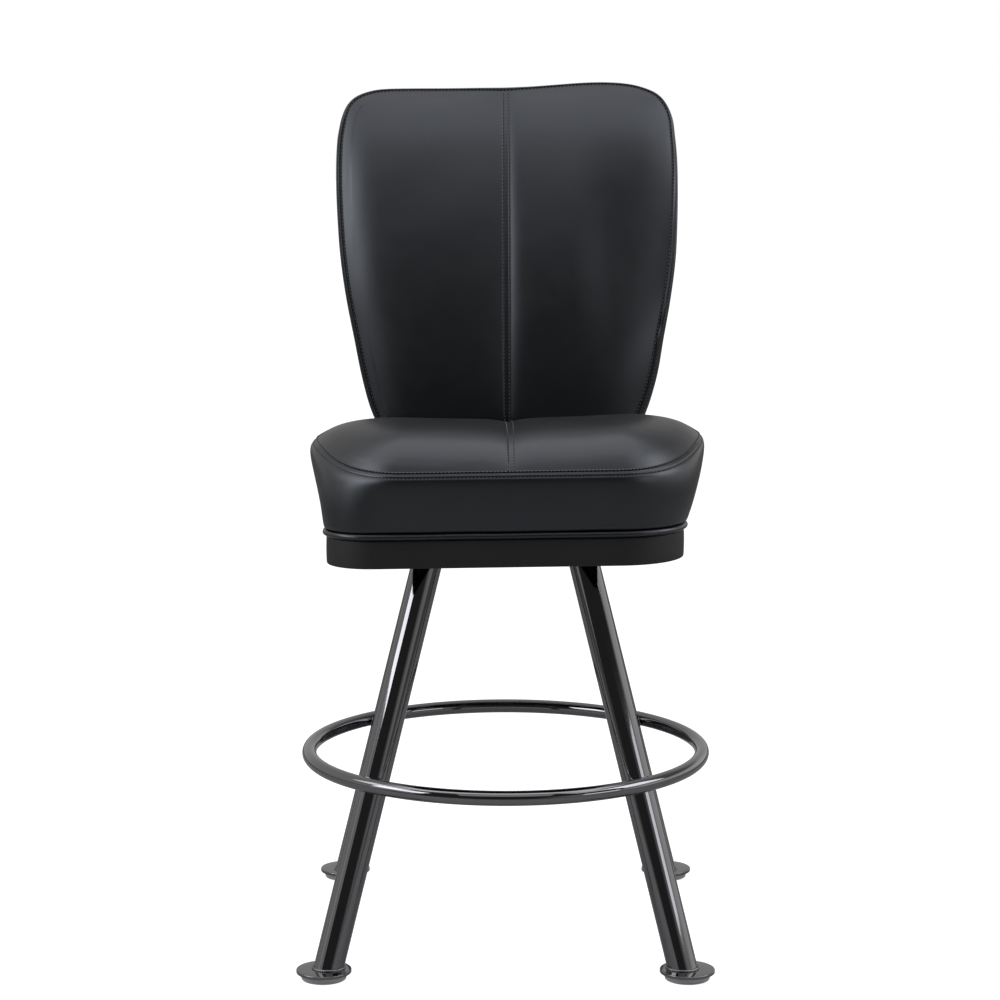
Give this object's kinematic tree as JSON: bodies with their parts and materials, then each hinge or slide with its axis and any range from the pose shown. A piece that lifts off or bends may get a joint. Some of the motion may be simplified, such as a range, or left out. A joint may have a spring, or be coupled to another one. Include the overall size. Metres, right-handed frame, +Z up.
{
  "type": "gaming stool",
  "caption": "Upholstered swivel stool with a tall padded back, on splayed tubular legs joined by a round foot ring.",
  "frame": {"origin": "on the floor, at the centre of the stool's bounding box seen from above; the swivel axis is 42.6 mm ahead of it, at x = 0, y = -0.0426", "axes": "+Z up along the swivel axis; -Y is the front of the stool, where the sitter's knees go; +X is to the viewer's right in the picture"},
  "size_m": [0.543, 0.6291, 1.1198],
  "materials": {
    "black_chrome": "polished",
    "black_steel": "satin",
    "zinc_steel": "satin",
    "black_fastener": "satin",
    "grey_nylon": "satin",
    "vinyl": "satin",
    "welt_vinyl": "gloss",
    "pan_plastic": "matte",
    "foam": "matte",
    "plywood": "matte"
  },
  "bodies": {
    "base": {"leg_front_left": "black_chrome", "leg_front_right": "black_chrome", "leg_rear_left": "black_chrome", "leg_rear_right": "black_chrome", "foot_ring": "black_chrome", "foot_disc_front_left": "black_chrome", "foot_disc_front_right": "black_chrome", "foot_disc_rear_left": "black_chrome", "foot_disc_rear_right": "black_chrome", "glide_front_left": "grey_nylon", "glide_front_right": "grey_nylon", "glide_rear_left": "grey_nylon", "glide_rear_right": "grey_nylon", "glide_nut_front_left": "zinc_steel", "glide_nut_front_right": "zinc_steel", "glide_nut_rear_left": "zinc_steel", "glide_nut_rear_right": "zinc_steel", "base_top_plate": "black_steel", "swivel_lower_plate": "zinc_steel", "swivel_lower_race": "zinc_steel", "king_pin": "zinc_steel", "king_pin_washer": "zinc_steel", "king_pin_nut": "zinc_steel", "base_bolt_front_left": "zinc_steel", "base_bolt_front_right": "zinc_steel", "base_bolt_rear_left": "zinc_steel", "base_bolt_rear_right": "zinc_steel", "base_nut_front_left": "zinc_steel", "base_nut_front_right": "zinc_steel", "base_nut_rear_left": "zinc_steel", "base_nut_rear_right": "zinc_steel"},
    "ball_cage": {"swivel_ball_cage": "zinc_steel"},
    "seat": {"swivel_upper_race": "zinc_steel", "swivel_upper_plate": "zinc_steel", "seat_screw_front_left": "zinc_steel", "seat_screw_front_right": "zinc_steel", "seat_screw_rear_left": "zinc_steel", "seat_screw_rear_right": "zinc_steel", "seat_board": "plywood", "seat_foam": "foam", "seat_cover": "vinyl", "seat_welt": "welt_vinyl", "seat_pan": "pan_plastic", "back_bracket_left": "black_steel", "back_bracket_right": "black_steel", "bracket_bolt_left_inner": "black_fastener", "bracket_bolt_left_outer": "black_fastener", "bracket_bolt_right_inner": "black_fastener", "bracket_bolt_right_outer": "black_fastener", "back_bolt_left_lower": "black_fastener", "back_bolt_left_upper": "black_fastener", "back_bolt_right_lower": "black_fastener", "back_bolt_right_upper": "black_fastener", "back_board": "plywood", "back_foam_front": "foam", "back_foam_rear": "foam", "back_front_cover": "vinyl", "back_rear_cover": "vinyl"}
  },
  "joints": [
    {"name": "seat_swivel", "type": "hinge", "parent": "base", "child": "seat", "pos_m": [0, -0.0426, 0.5548], "axis": [0, 0, 1], "continuous": true},
    {"name": "cage_roll", "type": "hinge", "parent": "base", "child": "ball_cage", "pos_m": [0, -0.0426, 0.5548], "axis": [0, 0, 1], "continuous": true}
  ],
  "couplings": [
    {"joint": "cage_roll", "follows": "seat_swivel", "ratio": 0.5}
  ]
}
